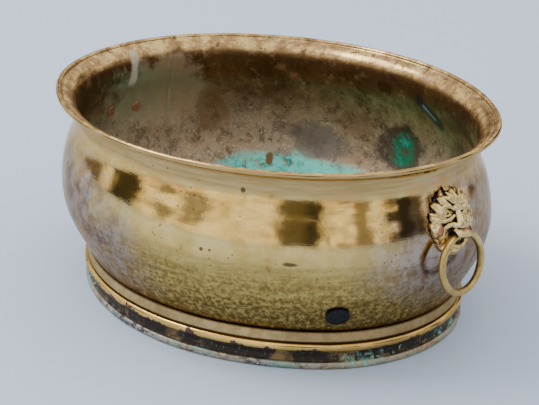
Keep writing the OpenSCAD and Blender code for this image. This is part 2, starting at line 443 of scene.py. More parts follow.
class Finish(Nodes):
    """A material, painted in coats over a first colour. Its places are metres in the frame, at rest."""

    def __init__(self, name, **shader):
        self.material = bpy.data.materials.new(name)
        self.material.use_nodes = True
        super().__init__(self.material.node_tree, "Object")
        self.shader = self.node("ShaderNodeBsdfPrincipled")
        self.join(self.shader.outputs[0], self.node("ShaderNodeOutputMaterial").inputs[0])
        for socket, value in shader.items():
            self.shader.inputs[socket.replace("_", " ")].default_value = value
        self.colour = None

    def coat(self, colour, *shares):
        """Covers the colour so far, as far as the product of the shares."""
        self.colour = self.mix(self.colour, colour, *shares)

    def scaled(self, x, y, z):
        """The place, stretched so that a texture's grain is longer along some axes."""
        return self.vector("MULTIPLY", self.place, (x, y, z))

    def freckles(self, scale, low, high):
        """1 at the middles of scattered cells, 0 between them."""
        made = self.node("ShaderNodeTexVoronoi", feature="F1")
        self.join(self.place, made.inputs["Vector"])
        made.inputs["Scale"].default_value = scale
        return self.fade(made.outputs["Distance"], low, high)

    def spot(self, where, size, soft=0.35, wobble=0.35, grain=60.0):
        """1 inside an uneven ellipsoid round a place (mm), 0 outside. Its size is a half size, or three."""
        sizes = (size,) * 3 if isinstance(size, (int, float)) else size
        away = self.vector("SUBTRACT", self.place, [c * MM for c in where])
        reach = self.vector("LENGTH", self.vector("MULTIPLY", away, [1 / (c * MM) for c in sizes]))
        reach = self.stray(reach, self.noise(grain, 8.0, 0.74), wobble * 2)
        return self.fade(reach, 1 + soft, 1 - soft)

    def streak(self, start, end, size, soft=0.4, wobble=0.3, grain=70.0):
        """1 along an uneven line between two places (mm), 0 away from it."""
        start, end = np.array(start) * MM, np.array(end) * MM
        along = end - start
        away = self.vector("SUBTRACT", self.place, start)
        share = self.vector("DOT_PRODUCT", away, along / (along @ along))
        share = self.math("ADD", share, 0.0, clamp=True)
        gap = self.vector("DISTANCE", away, self.vector("MULTIPLY", share, along))
        reach = self.math("DIVIDE", gap, size * MM)
        reach = self.stray(reach, self.noise(grain, 5.0, 0.6), wobble * 2)
        return self.fade(reach, 1 + soft, 1 - soft)

    def attribute(self, name):
        return self.node("ShaderNodeAttribute", attribute_name=name).outputs["Fac"]

    def bump(self, *layers):
        """Stacks bumps, each (height, distance in mm)."""
        normal = None
        for height, distance in layers:
            made = self.node("ShaderNodeBump")
            made.inputs["Distance"].default_value = distance * MM
            self.join(height, made.inputs["Height"])
            if normal:
                self.join(normal, made.inputs["Normal"])
            normal = made.outputs["Normal"]
        self.join(normal, self.shader.inputs["Normal"])

    def set(self, **sockets):
        for name, source in sockets.items():
            self.join(source, self.shader.inputs[name.replace("_", " ")])
        return self.material


# colours, as linear shares
GOLD = (0.66, 0.43, 0.115)
PALE_GOLD = (0.80, 0.57, 0.205)
EDGE_TINT = (0.80, 0.70, 0.58, 1.0)
UMBER = (0.070, 0.036, 0.013)
BROWN = (0.19, 0.105, 0.038)
RUST = (0.42, 0.17, 0.05)
SOOT_AND_SHADE = (0.018, 0.014, 0.012)
GREY_PATINA = (0.41, 0.315, 0.215)
VIOLET_GREY = (0.31, 0.255, 0.26)
PURPLE_STAIN = (0.075, 0.040, 0.055)
VERDIGRIS = (0.020, 0.48, 0.40)
PALE_VERDIGRIS = (0.17, 0.80, 0.70)
GREEN_STAIN = (0.015, 0.20, 0.10)
LIME = (0.50, 0.46, 0.37)


def outside_brass():
    """Polished brass, mirror-like on the shoulder and duller, speckled and stained towards the foot, with
    painted shade low down and where the wall meets the foot, and a painted reflection of the sky on the
    right end.
    """
    f = Finish("brass_outside", Metallic=1.0, Specular_Tint=EDGE_TINT)
    z = f.axes()[2]
    broad = f.noise(9.0, 5.0, 0.6)
    fine = f.noise(55.0, 6.0, 0.62)
    speckle = f.noise(270.0, 3.0, 0.7)
    streaks = f.noise(38.0, 6.0, 0.7, vector=f.scaled(0.55, 0.55, 7.0))
    wavy = f.stray(z, broad, 0.03)
    low = f.fade(wavy, 0.110, 0.088)
    lowest = f.fade(z, 0.066, 0.034)
    f.colour = f.mix(PALE_GOLD, GOLD, f.fade(fine, 0.35, 0.68))
    neck = f.mix((0.52, 0.35, 0.145), (0.40, 0.255, 0.090), f.fade(streaks, 0.38, 0.62))
    f.coat(neck, f.fade(z, 0.146, 0.153))
    dull = f.mix((0.34, 0.222, 0.060), (0.50, 0.352, 0.110), f.fade(streaks, 0.38, 0.62))
    f.coat(dull, low)
    # painted shade: darkens the lower wall towards the foot, where it faces down at the shaded floor
    f.coat((0.13, 0.085, 0.028), lowest, f.fade(streaks, 0.3, 0.62, 0.3, 0.7))
    # dark and bright speckle that fades out towards the shoulder
    speckled = f.fade(wavy, 0.112, 0.050)
    rubbed = f.times(speckled, f.fade(speckle, 0.44, 0.60))
    shine = f.times(speckled, f.fade(speckle, 0.46, 0.36))
    f.coat((0.09, 0.058, 0.016), rubbed, 0.80)
    f.coat((0.62, 0.45, 0.14), shine, 0.60)
    # violet-grey and rusty stains on the front left; the violet-grey on the right end is a painted
    # reflection of the sky
    left = f.spot((-114, -140, 80), (124, 84, 58), 0.35, 0.35, 14.0)
    violet = f.mix(VIOLET_GREY, (0.16, 0.095, 0.085), f.fade(f.noise(80.0, 6.0, 0.75), 0.42, 0.58))
    f.coat(violet, left, f.fade(f.noise(22.0, 7.0, 0.7), 0.40, 0.56, 0.55, 1.0))
    f.coat(RUST, left, f.fade(f.noise(34.0, 6.0, 0.7), 0.54, 0.62), 0.55)
    # painted reflection: violet-grey on the right end, where the brass mirrors the sky
    f.coat(violet, f.spot((196, 36, 100), (60, 112, 50), 0.4, 0.35, 14.0), 0.80)
    f.coat(BROWN, f.fade(fine, 0.62, 0.74), 0.55)
    # orange bloom and tarnish along the top of the polished shoulder
    bloom = f.fade(f.noise(24.0, 5.0, 0.6), 0.48, 0.60)
    f.coat((0.62, 0.27, 0.07), bloom, f.fade(z, 0.1385, 0.144), f.fade(z, 0.156, 0.150), 0.40)
    f.coat(UMBER, f.freckles(150.0, 0.17, 0.06), f.fade(broad, 0.48, 0.60, 0.0, 0.8))
    for where, size in (((-4, -169, 141), 2.4), ((90.7, -132, 151), 2.0), ((69, -155, 102.5), 1.7),
                        ((76, -153, 103), 1.2), ((-40, -166, 104), 1.7), ((-36, -166, 102), 1.3),
                        ((120, -125, 88), 1.2), ((-88, -145, 76), 1.6), ((131, -122, 99), (6, 5, 1.6)),
                        ((150, -95, 118), (3, 7, 5))):
        f.coat(UMBER, f.spot(where, size, 0.35, 0.6, 130.0), 0.85)
    # painted shade in the corner where the wall meets the foot
    f.coat(SOOT_AND_SHADE, f.fade(z, 0.0375, 0.0325), f.fade(fine, 0.2, 0.6, 0.6, 1.0))
    rough = f.fade(fine, 0.35, 0.80, 0.05, 0.15)
    rough = f.math("ADD", rough, f.times(low, 0.16))
    rough = f.math("ADD", rough, f.times(rubbed, 0.14))
    scratches = f.noise(60.0, 6.0, 0.7, vector=f.scaled(0.5, 0.5, 9.0))
    f.bump((f.noise(17.0, 2.0, 0.5), 0.40), (f.noise(62.0, 3.0, 0.6), 0.11), (scratches, 0.045),
           (f.times(speckle, low), 0.10))
    return f.set(Base_Color=f.colour, Roughness=rough)


def inside_brass():
    """Tarnished brass: mottled brown and grey, verdigris low at the back, stains, a band of painted shade
    below the neck and a bright flare that is partly a painted highlight.
    """
    f = Finish("brass_inside", Specular_Tint=EDGE_TINT)
    z = f.axes()[2]
    broad = f.noise(7.0, 6.0, 0.6)
    mottle = f.noise(26.0, 8.0, 0.68, 0.6)
    fine = f.noise(120.0, 6.0, 0.7)
    speckle = f.noise(380.0, 4.0, 0.75)
    wavy = f.stray(z, mottle, 0.05)
    f.colour = f.mix((0.27, 0.150, 0.060), (0.15, 0.072, 0.026), f.fade(mottle, 0.40, 0.60))
    f.coat((0.42, 0.245, 0.085), f.fade(broad, 0.50, 0.66, 0.0, 0.8))
    # painted shade: a darker band below the neck, where the inner wall faces down
    f.coat(UMBER, f.fade(wavy, 0.112, 0.152), 0.62)
    greyed = f.times(f.fade(wavy, 0.138, 0.085), f.fade(mottle, 0.3, 0.6, 0.6, 1.0))
    f.coat(GREY_PATINA, greyed)
    f.coat(UMBER, f.fade(fine, 0.53, 0.64), 0.6)
    clouds = f.noise(58.0, 9.0, 0.78)
    f.coat((0.075, 0.045, 0.022), f.fade(clouds, 0.50, 0.62), 0.55)
    f.coat((0.50, 0.36, 0.20), f.fade(clouds, 0.47, 0.38), 0.40)
    f.coat((0.60, 0.51, 0.37), f.fade(speckle, 0.56, 0.64), greyed)
    # verdigris near the floor, thickest along the back
    edge = f.stray(z, mottle, 0.045)
    back_left = f.spot((-100, 125, 42), (84, 45, 20), 0.25, 0.9, 30.0)
    back_middle = f.spot((-20, 150, 39), (78, 30, 17), 0.25, 0.9, 30.0)
    back = f.most(back_left, back_middle)
    low_back = f.times(f.fade(edge, 0.044, 0.034), f.spot((-60, 140, 34), (170, 80, 40), 0.3, 0.4, 20.0))
    green = f.most(back, f.times(low_back, 0.8))
    crust = f.mix(VERDIGRIS, PALE_VERDIGRIS, f.fade(f.noise(48.0, 6.0, 0.7), 0.38, 0.56))
    crust = f.mix(crust, (0.02, 0.12, 0.09), f.fade(mottle, 0.50, 0.58), 0.85)
    f.coat(crust, green, f.fade(fine, 0.33, 0.48))
    # stains and blotches, each at its own place on the back wall
    for where, size, tint, share in (
            ((-3.6, 153.6, 145), (10, 10, 6), UMBER, 0.85),
            ((4.5, 151, 160), 4.0, PURPLE_STAIN, 0.7),
            ((-104, 138, 82), (12, 10, 7), UMBER, 0.4),
            ((-78, 148, 74), (34, 16, 17), (0.16, 0.15, 0.14), 0.7),
            ((-40, 158, 100), (26, 14, 12), BROWN, 0.45),
            ((90, 150, 100), (18, 18, 22), UMBER, 0.5),
            ((12.4, 165, 85.5), (27, 18, 26), (0.05, 0.040, 0.026), 0.85),
            ((-114, 121, 52), (3.4, 3.4, 9), BROWN, 1.0),
            ((-178, 40, 122), (30, 60, 36), (0.55, 0.43, 0.30), 0.65),
            ((165, 105, 118), (50, 50, 34), (0.55, 0.38, 0.19), 0.8),
            ((-160, 90, 100), (16, 16, 26), BROWN, 0.6),
            ((120, 125, 60), (30, 30, 18), (0.09, 0.08, 0.06), 0.6)):
        f.coat(tint, f.spot(where, size, 0.25, 1.3, 42.0), share)
    patch = f.times(f.spot((12.4, 165, 85.5), (14, 12, 15), 0.3, 0.8, 75.0), f.fade(fine, 0.38, 0.52))
    f.coat(f.mix(GREEN_STAIN, VERDIGRIS, f.fade(clouds, 0.46, 0.60, 0.0, 0.8)), patch)
    for start, end, size, tint, share in (
            ((39.6, 150, 144), (63.2, 150, 127.5), 6, (0.035, 0.03, 0.03), 0.85),
            ((44, 150, 140), (57, 150, 131), 2.0, (0.30, 0.36, 0.44), 0.8),
            ((-152, 102, 112), (-145, 110, 88), 5, (0.34, 0.32, 0.28), 0.25),
            ((-181, 11, 168), (-185.2, 8.9, 139), 4.6, LIME, 0.9)):
        f.coat(tint, f.streak(start, end, size, 0.5, 0.5), share)
    # the seam's silvery line
    seam = f.streak((-182.4, 54.5, 150), (-177.0, 47.0, 36), 1.1, 0.5, 0.5)
    f.coat((0.50, 0.44, 0.32), seam, 0.55)
    # bright metal above the neck: partly polish, partly a painted highlight along the flare
    worn = f.stray(z, mottle, 0.010)
    bright = f.fade(worn, 0.1600, 0.1655)
    gold = f.mix((0.66, 0.46, 0.19), (0.30, 0.175, 0.070), f.fade(clouds, 0.44, 0.56, 0.0, 0.9))
    gold = f.mix(gold, (0.22, 0.12, 0.06), f.fade(mottle, 0.50, 0.60), 0.6)
    gold = f.mix(gold, UMBER, f.fade(fine, 0.56, 0.63), 0.7)
    gold = f.mix(gold, SOOT_AND_SHADE, f.streak((-170, -48, 166), (-176, -36, 163), 1.2), 0.9)
    gold = f.mix(gold, (0.62, 0.30, 0.10), f.spot((182, 8.7, 160), (7, 20, 5)), 0.6)
    f.coat(gold, bright)
    drip = f.streak((-184, 11, 173), (-185.2, 8.9, 142), 4.4, 0.35, 0.35)
    f.coat(LIME, drip, 0.8)
    dull = f.most(f.times(green, 0.9), drip)
    dull = f.most(dull, f.times(greyed, 0.45))
    metal = f.fade(dull, 0.1, 0.8, 0.80, 0.05)
    rough = f.math("ADD", f.fade(mottle, 0.3, 0.75, 0.32, 0.48), f.times(dull, 0.35), clamp=True)
    rough = f.math("SUBTRACT", rough, f.times(bright, 0.16))
    f.bump((f.noise(20.0, 2.0, 0.5), 0.5), (mottle, 0.14), (fine, 0.08),
           (f.times(green, f.noise(200.0, 5.0, 0.7)), 0.5))
    return f.set(Base_Color=f.colour, Roughness=rough, Metallic=metal)


def foot_brass():
    """Foot: dull band, golden bead stained below, near-black hollow of tarnish and painted shade, crusted
    grey roll, painted shade at its top edge and in its groove.
    """
    f = Finish("brass_foot", Specular_Tint=EDGE_TINT)
    z = f.axes()[2]
    broad = f.noise(8.0, 5.0, 0.6)
    mottle = f.noise(34.0, 7.0, 0.68, 0.5)
    fine = f.noise(160.0, 5.0, 0.7)
    speckle = f.noise(420.0, 4.0, 0.75)
    f.colour = f.mix((0.88, 0.60, 0.19), (0.68, 0.42, 0.11), f.fade(mottle, 0.35, 0.65))
    band = f.fade(z, 0.0228, 0.0240)
    satin = f.mix((0.52, 0.375, 0.185), (0.38, 0.265, 0.115), f.fade(fine, 0.4, 0.62))
    f.coat(satin, band, 0.9)
    # dark stains that eat into the bead from below, more so at the left
    leftward = f.times(f.spot((-150, -90, 18), (120, 110, 60), 0.5, 0.1), 0.0016)
    edge = f.math("SUBTRACT", f.stray(f.stray(z, mottle, 0.040), fine, 0.006), leftward)
    f.coat(PURPLE_STAIN, f.fade(edge, 0.0170, 0.0160), 0.95)
    f.coat(BROWN, f.fade(broad, 0.47, 0.62), 0.45)
    # the hollow under the bead, near-black: partly tarnish, partly painted shade
    hollow = f.times(f.fade(z, 0.0145, 0.0132), f.fade(z, 0.0052, 0.0066))
    tarnish_and_shade = f.mix((0.020, 0.014, 0.013), (0.20, 0.13, 0.055), f.fade(mottle, 0.50, 0.62))
    tarnish_and_shade = f.mix(tarnish_and_shade, (0.10, 0.30, 0.27), f.fade(speckle, 0.60, 0.66), 0.7)
    f.coat(tarnish_and_shade, hollow)
    roll = f.fade(z, 0.0066, 0.0054)
    crusted = f.mix((0.30, 0.29, 0.27), (0.06, 0.045, 0.05), f.fade(fine, 0.46, 0.56))
    crusted = f.mix(crusted, (0.62, 0.58, 0.54), f.fade(speckle, 0.56, 0.64), 0.85)
    crusted = f.mix(crusted, (0.16, 0.40, 0.36), f.fade(mottle, 0.52, 0.60), 0.6)
    crusted = f.mix(crusted, (0.46, 0.33, 0.15), f.fade(broad, 0.44, 0.60), 0.45)
    f.coat(crusted, roll)
    # painted shade along the foot's top edge, where it meets the wall
    f.coat(UMBER, f.fade(z, 0.0302, 0.0316), 0.9)
    # painted shade in the groove above the bead
    f.coat(UMBER, f.fade(z, 0.0246, 0.0234), f.fade(z, 0.0216, 0.0226), 0.85)
    low = f.fade(z, 0.015, 0.011)
    specks = f.times(f.fade(fine, 0.58, 0.66), f.fade(broad, 0.50, 0.60), low)
    for where, size in (((60, -148, 5), (16, 12, 4)), ((-120, -118, 5), (34, 26, 4)),
                        ((-160, -70, 6), (22, 30, 5)), ((158, -62, 6), (14, 20, 5)),
                        ((168, 30, 8), (14, 20, 7)), ((20, 150, 6), (50, 12, 6))):
        specks = f.most(specks, f.times(f.spot(where, size, 0.3, 0.5, 90.0), f.fade(fine, 0.46, 0.56)))
    crust = f.mix((0.08, 0.34, 0.28), (0.34, 0.60, 0.52), f.fade(fine, 0.45, 0.65))
    f.coat(crust, specks, 0.6)
    dull = f.most(f.times(hollow, 0.55), specks)
    dull = f.most(dull, f.times(roll, 0.6))
    rough = f.math("ADD", f.fade(mottle, 0.3, 0.7, 0.13, 0.24), f.times(dull, 0.35), clamp=True)
    rough = f.math("ADD", rough, f.times(band, 0.16))
    f.bump((f.noise(26.0, 2.0, 0.5), 0.45), (mottle, 0.12), (f.times(fine, dull), 0.35))
    return f.set(Base_Color=f.colour, Roughness=rough, Metallic=f.fade(dull, 0.0, 0.9, 1.0, 0.12))


def floor_brass():
    """Floor of the pot: dark, limed and green where water stood."""
    f = Finish("brass_floor")
    broad = f.noise(7.0, 6.0, 0.62)
    mottle = f.noise(30.0, 8.0, 0.7, 0.8)
    fine = f.noise(170.0, 6.0, 0.7)
    f.colour = f.mix(BROWN, GREY_PATINA, f.fade(mottle, 0.36, 0.62, 0.0, 0.6))
    f.coat(UMBER, f.fade(fine, 0.50, 0.65), 0.7)
    green = f.fade(f.math("ADD", broad, f.times(mottle, 0.4)), 0.78, 0.88)
    green = f.most(green, f.spot((-70, 118, 31), (80, 30, 20), 0.3, 0.3))
    crust = f.mix(VERDIGRIS, PALE_VERDIGRIS, f.fade(f.noise(48.0, 6.0, 0.7), 0.4, 0.6))
    f.coat(crust, green, f.fade(fine, 0.34, 0.5))
    rough = f.fade(mottle, 0.3, 0.7, 0.42, 0.75)
    f.bump((broad, 0.9), (mottle, 0.3), (fine, 0.12))
    return f.set(Base_Color=f.colour, Roughness=rough, Metallic=f.fade(green, 0.1, 0.8, 0.8, 0.05))


def cast_brass():
    """Cast mask: polished on its high parts, black in its hollows."""
    f = Finish("brass_cast")
    hollow = f.attribute("hollow")
    mottle = f.noise(90.0, 6.0, 0.65)
    fine = f.noise(420.0, 5.0, 0.7)
    depth = f.stray(hollow, mottle, 0.35)
    dark = f.fade(depth, 0.50, 0.76)
    f.colour = f.mix((0.84, 0.64, 0.30), (0.62, 0.45, 0.18), f.fade(mottle, 0.35, 0.65))
    f.coat((0.24, 0.19, 0.10), f.fade(depth, 0.34, 0.54))
    f.coat(SOOT_AND_SHADE, dark)
    green = f.times(f.fade(f.noise(34.0, 4.0, 0.6), 0.56, 0.64), f.fade(depth, 0.42, 0.62))
    f.coat((0.20, 0.30, 0.22), green, 0.45)
    rough = f.math("ADD", f.fade(mottle, 0.3, 0.7, 0.20, 0.34), f.times(dark, 0.35), clamp=True)
    f.bump((mottle, 0.24), (fine, 0.06))
    return f.set(Base_Color=f.colour, Roughness=rough, Metallic=f.fade(dark, 0.0, 1.0, 1.0, 0.45))


def ring_brass():
    """Ring wire: satin brass, browned on its inner side, rubbed bright outside."""
    f = Finish("brass_ring", Metallic=1.0)
    inner = f.attribute("inner")
    mottle = f.noise(70.0, 6.0, 0.62)
    fine = f.noise(600.0, 4.0, 0.7)
    browned = f.fade(f.stray(inner, mottle, 0.5), 0.66, 0.98)
    f.colour = f.mix((0.66, 0.47, 0.17), (0.48, 0.32, 0.10), f.fade(mottle, 0.35, 0.65))
    f.coat((0.16, 0.095, 0.03), browned, 0.85)
    f.coat((0.30, 0.20, 0.15), f.attribute("joint"), 0.7)
    rough = f.fade(mottle, 0.3, 0.7, 0.27, 0.42)
    f.bump((mottle, 0.14), (fine, 0.035))
    return f.set(Base_Color=f.colour, Roughness=rough)


def rivet_copper():
    """Hammered copper, brown with a few bright edges."""
    f = Finish("copper")
    mottle = f.noise(160.0, 6.0, 0.65)
    fine = f.noise(700.0, 4.0, 0.7)
    f.colour = f.mix((0.66, 0.27, 0.15), (0.36, 0.17, 0.10), f.fade(mottle, 0.36, 0.64))
    f.coat((0.78, 0.48, 0.34), f.fade(fine, 0.55, 0.7), 0.5)
    f.bump((mottle, 0.25), (fine, 0.05))
    return f.set(Base_Color=f.colour, Roughness=f.fade(mottle, 0.3, 0.7, 0.32, 0.55), Metallic=0.85)


def plug_rubber():
    """Black rubber with a faint bloom of dust and small scuffs."""
    f = Finish("black_rubber", Metallic=0.0)
    mottle = f.noise(240.0, 6.0, 0.65)
    fine = f.noise(1500.0, 4.0, 0.7)
    f.colour = f.mix((0.004, 0.004, 0.005), (0.018, 0.020, 0.025), f.fade(mottle, 0.45, 0.75))
    f.shader.inputs["Specular IOR Level"].default_value = 0.14
    f.bump((mottle, 0.12), (fine, 0.03))
    return f.set(Base_Color=f.colour, Roughness=f.fade(mottle, 0.3, 0.7, 0.22, 0.42))


def wire_iron():
    """Iron wire with a skin of rust."""
    f = Finish("iron_wire")
    mottle = f.noise(150.0, 6.0, 0.65)
    f.colour = f.mix((0.22, 0.20, 0.18), (0.26, 0.11, 0.05), f.fade(mottle, 0.42, 0.62))
    f.bump((mottle, 0.2))
    return f.set(Base_Color=f.colour, Roughness=f.fade(mottle, 0.3, 0.7, 0.5, 0.85), Metallic=0.7)


# ---------------------------------------------------------------- the pot's pieces

def round_oval(half, z, turns):
    """Points and faces of a closed section carried round the oval."""
    x, y = on_oval(turns * np.ones_like(half), half)
    points = np.stack([x, y, z * np.ones_like(x)], axis=-1).reshape(-1, 3)
    return points, grid_faces(*x.shape)


def make_wall():
    """Raised wall with a slight hand-made unevenness, a brazed lap seam and the real drain hole."""
    section, outer_count = wall_section()
    rim_top, rim_inner = outer_count + 12, outer_count + 18
    half, z = section[:, :1], section[:, 1:]
    turns = oval_turns()[None, :]
    free = ease(z, foot_height, 52) * (1 - ease(z, 150, 164))
    half = half + free * hammer_depth * (waves(11, turns, z) - 1)
    off_seam = (turns - seam_turn) / seam_width
    ridge = np.exp(-off_seam ** 2) * ease(z, foot_height, 40) * (1 - ease(z, 166, 171))
    inner = (np.arange(len(section)) >= rim_inner)[:, None]
    half = half - ridge * np.where(inner, seam_ridge_inside, seam_ridge_outside)
    points, faces = round_oval(half, z, turns)
    ring = np.repeat(np.arange(len(section)), turns.size)
    inside = (ring >= rim_top).astype(int)
    wall = piece("wall", points, faces, "pot", ("body_shell",),
                 (outside_brass(), inside_brass()), inside)
    cut_drain(wall)


def cut_drain(wall):
    """Cuts the drain hole through the wall."""
    points, faces = turned([[drain_r, -drain_cut], [drain_r, drain_cut]], 64)
    mesh = bpy.data.meshes.new("drain_cutter")
    mesh.from_pydata((moved(points, at_drain()) * MM).tolist(), [], faces)
    cutter = bpy.data.objects.new("drain_cutter", mesh)
    bpy.context.scene.collection.objects.link(cutter)
    modifier = wall.modifiers.new("drain", "BOOLEAN")
    modifier.object = cutter
    modifier.operation = "DIFFERENCE"
    modifier.solver = "EXACT"
    bpy.context.view_layer.update()
    solved = wall.evaluated_get(bpy.context.evaluated_depsgraph_get())
    cut = bpy.data.meshes.new_from_object(solved)
    wall.modifiers.clear()
    wall.data = cut
    bpy.data.objects.remove(cutter)


def make_foot():
    """Stepped foot, a little battered along its roll."""
    section, outer_count = foot_section()
    half, z = section[:, :1], section[:, 1:]
    turns = oval_turns()[None, :]
    knocked = 1 - ease(z, 16, 27)
    outer = (np.arange(len(section)) < outer_count)[:, None]
    dents = dent_depth * (waves(23, turns * 2, z * 3) - 1)
    points, faces = round_oval(half + np.where(outer, knocked * dents, 0), z, turns)
    piece("foot", points, faces, "pot", ("foot_ring",), (foot_brass(),))


# ---------------------------------------------------------------- rings, rivets and plug

def make_ring(side, metal):
    """Cast ring: a round wire with slight flats, worn where it hangs, its joint low on one side."""
    around, across = 256, 28
    draw = np.random.default_rng(31 if side == "right" else 37)
    t = np.linspace(0, 2 * np.pi, around, endpoint=False)[:, None]
    s = np.linspace(0, 2 * np.pi, across, endpoint=False)[None, :]
    phases = draw.uniform(0, 6.3, 4)
    flats = (0.012 * np.sin(3 * t + phases[0]) + 0.008 * np.sin(7 * t + phases[1])
             + 0.008 * np.sin(5 * t + 2 * s + phases[2]))
    wire = ring_wire_r * (1 - 0.012 - flats)
    joint = np.exp(-((t - math.radians(ring_joint)) * ring_r / 0.9) ** 2)
    wire = wire * (1 - 0.05 * joint)
    top = np.exp(-((t - np.pi / 2) / 0.22) ** 2)
    wire = wire * (1 - 0.05 * top * np.clip(-np.cos(s), 0, 1))
    radius = ring_r + wire * np.cos(s)
    points = np.stack([wire * np.sin(s), radius * np.cos(t), radius * np.sin(t)], axis=-1).reshape(-1, 3)
    place = at_end(side) @ shift(pivot_x, 0, pivot_z) @ rot_y(-ring_lean) @ shift(0, 0, -ring_r)
    made = piece(f"ring_{side}_cast", moved(points, place), grid_faces(around, across)[:, ::-1],
                 f"{side}_ring", (f"ring_{side}",), (metal,))
    mark(made, "inner", (0.5 - 0.5 * np.cos(s) * np.ones_like(t)).reshape(-1))
    mark(made, "joint", (joint * np.ones_like(s)).reshape(-1))


def mark(made, name, values):
    """Stores a number a vertex, for the material to read."""
    layer = made.data.attributes.new(name, "FLOAT", "POINT")
    layer.data.foreach_set("value", np.asarray(values, np.float32))


def make_rivet(side, sign, copper):
    """Rivet with a hammered head inside the pot and a peened end on the mask's cheek."""
    seed = {("right", -1): 3, ("right", 1): 5, ("left", -1): 7, ("left", 1): 9}[(side, sign)]
    draw = np.random.default_rng(seed)
    phases = draw.uniform(0, 6.3, 6)
    head_r, head_t, end_r, end_t, shank_r = 5.15, 1.3, 3.55, 1.15, 2.5
    low = -sheet - 0.2
    section = joined(
        line([0.3, low - head_t], [head_r - 1.3, low - head_t + 0.08], 7),
        arc(head_r - 0.75, low - head_t + 0.75, 0.7, -70, 60, 6),
        line([head_r - 0.4, low - 0.05], [shank_r, low - 0.02], 3),
        line([shank_r, low + 0.2], [shank_r, rivet_seat], 6),
        line([shank_r + 0.1, rivet_seat + 0.06], [end_r - 0.3, rivet_seat + 0.06], 2),
        arc(end_r - 0.35, rivet_seat + 0.42, 0.34, -60, 40, 4),
        line([end_r - 0.4, rivet_seat + 0.75], [0.3, rivet_seat + end_t], 6))

    def hammered(radius, height, t):
        """Blunts the head's and the peened end's outlines and dents their faces."""
        flat = np.clip(radius / head_r, 0, 1)
        rough = (0.5 * np.sin(3 * t + phases[0]) + 0.3 * np.sin(5 * t + phases[1])
                 + 0.2 * np.sin(8 * t + phases[2]))
        wide = radius > shank_r + 0.2
        out = radius * np.where(wide, 0.975 + 0.025 * rough, 1.0)
        dent = 0.10 * flat * (1 + np.sin(2 * t + phases[3] + radius)) * np.where(height < low - 0.2, 1, 0)
        peen = 0.10 * flat * (1 + np.sin(4 * t + phases[4])) * np.where(height > rivet_seat + 0.4, 1, 0)
        return out, height + dent - peen

    points, faces = turned(section, 48, hammered)
    where = "near" if (side == "right") == (sign < 0) else "far"
    piece(f"rivet_{side}_{where}_hammered", moved(points, at_rivet(side, sign)), faces,
          "pot", (f"rivet_{side}_{where}",), (copper,))


def make_plug(rubber):
    """Rubber stopper: dished round head outside, stem in the hole, tapered nose inside."""
    stem_r = drain_r - 0.05
    edge_r = 0.9
    section = joined(
        line([0.4, -8], [stem_r - 2.0, -8], 4),
        arc(stem_r - 2.0, -7.2, 0.8, -90, -20, 5),
        line([stem_r - 1.1, -6.8], [stem_r, -4], 4),
        line([stem_r, -3.8], [stem_r, plug_gap], 4),
        line([stem_r + 0.3, plug_gap], [plug_head_r - 0.3, plug_gap], 3),
        arc(plug_head_r - edge_r, plug_gap + edge_r, edge_r, -30, 100, 9),
        line([plug_head_r - 1.5, plug_gap + 1.74], [plug_head_r - 2.6, plug_gap + 1.35], 3),
        line([plug_head_r - 3.2, plug_gap + 1.26], [1.7, plug_gap + 1.2], 6),
        arc(0, plug_gap + 1.0, 1.05, 20, 82, 5))
    points, faces = turned(section, 72)
    piece("plug_rubber", moved(points, at_drain()), faces,
          "plug", ("drain_plug",), (rubber,))


# ---------------------------------------------------------------- the lion masks

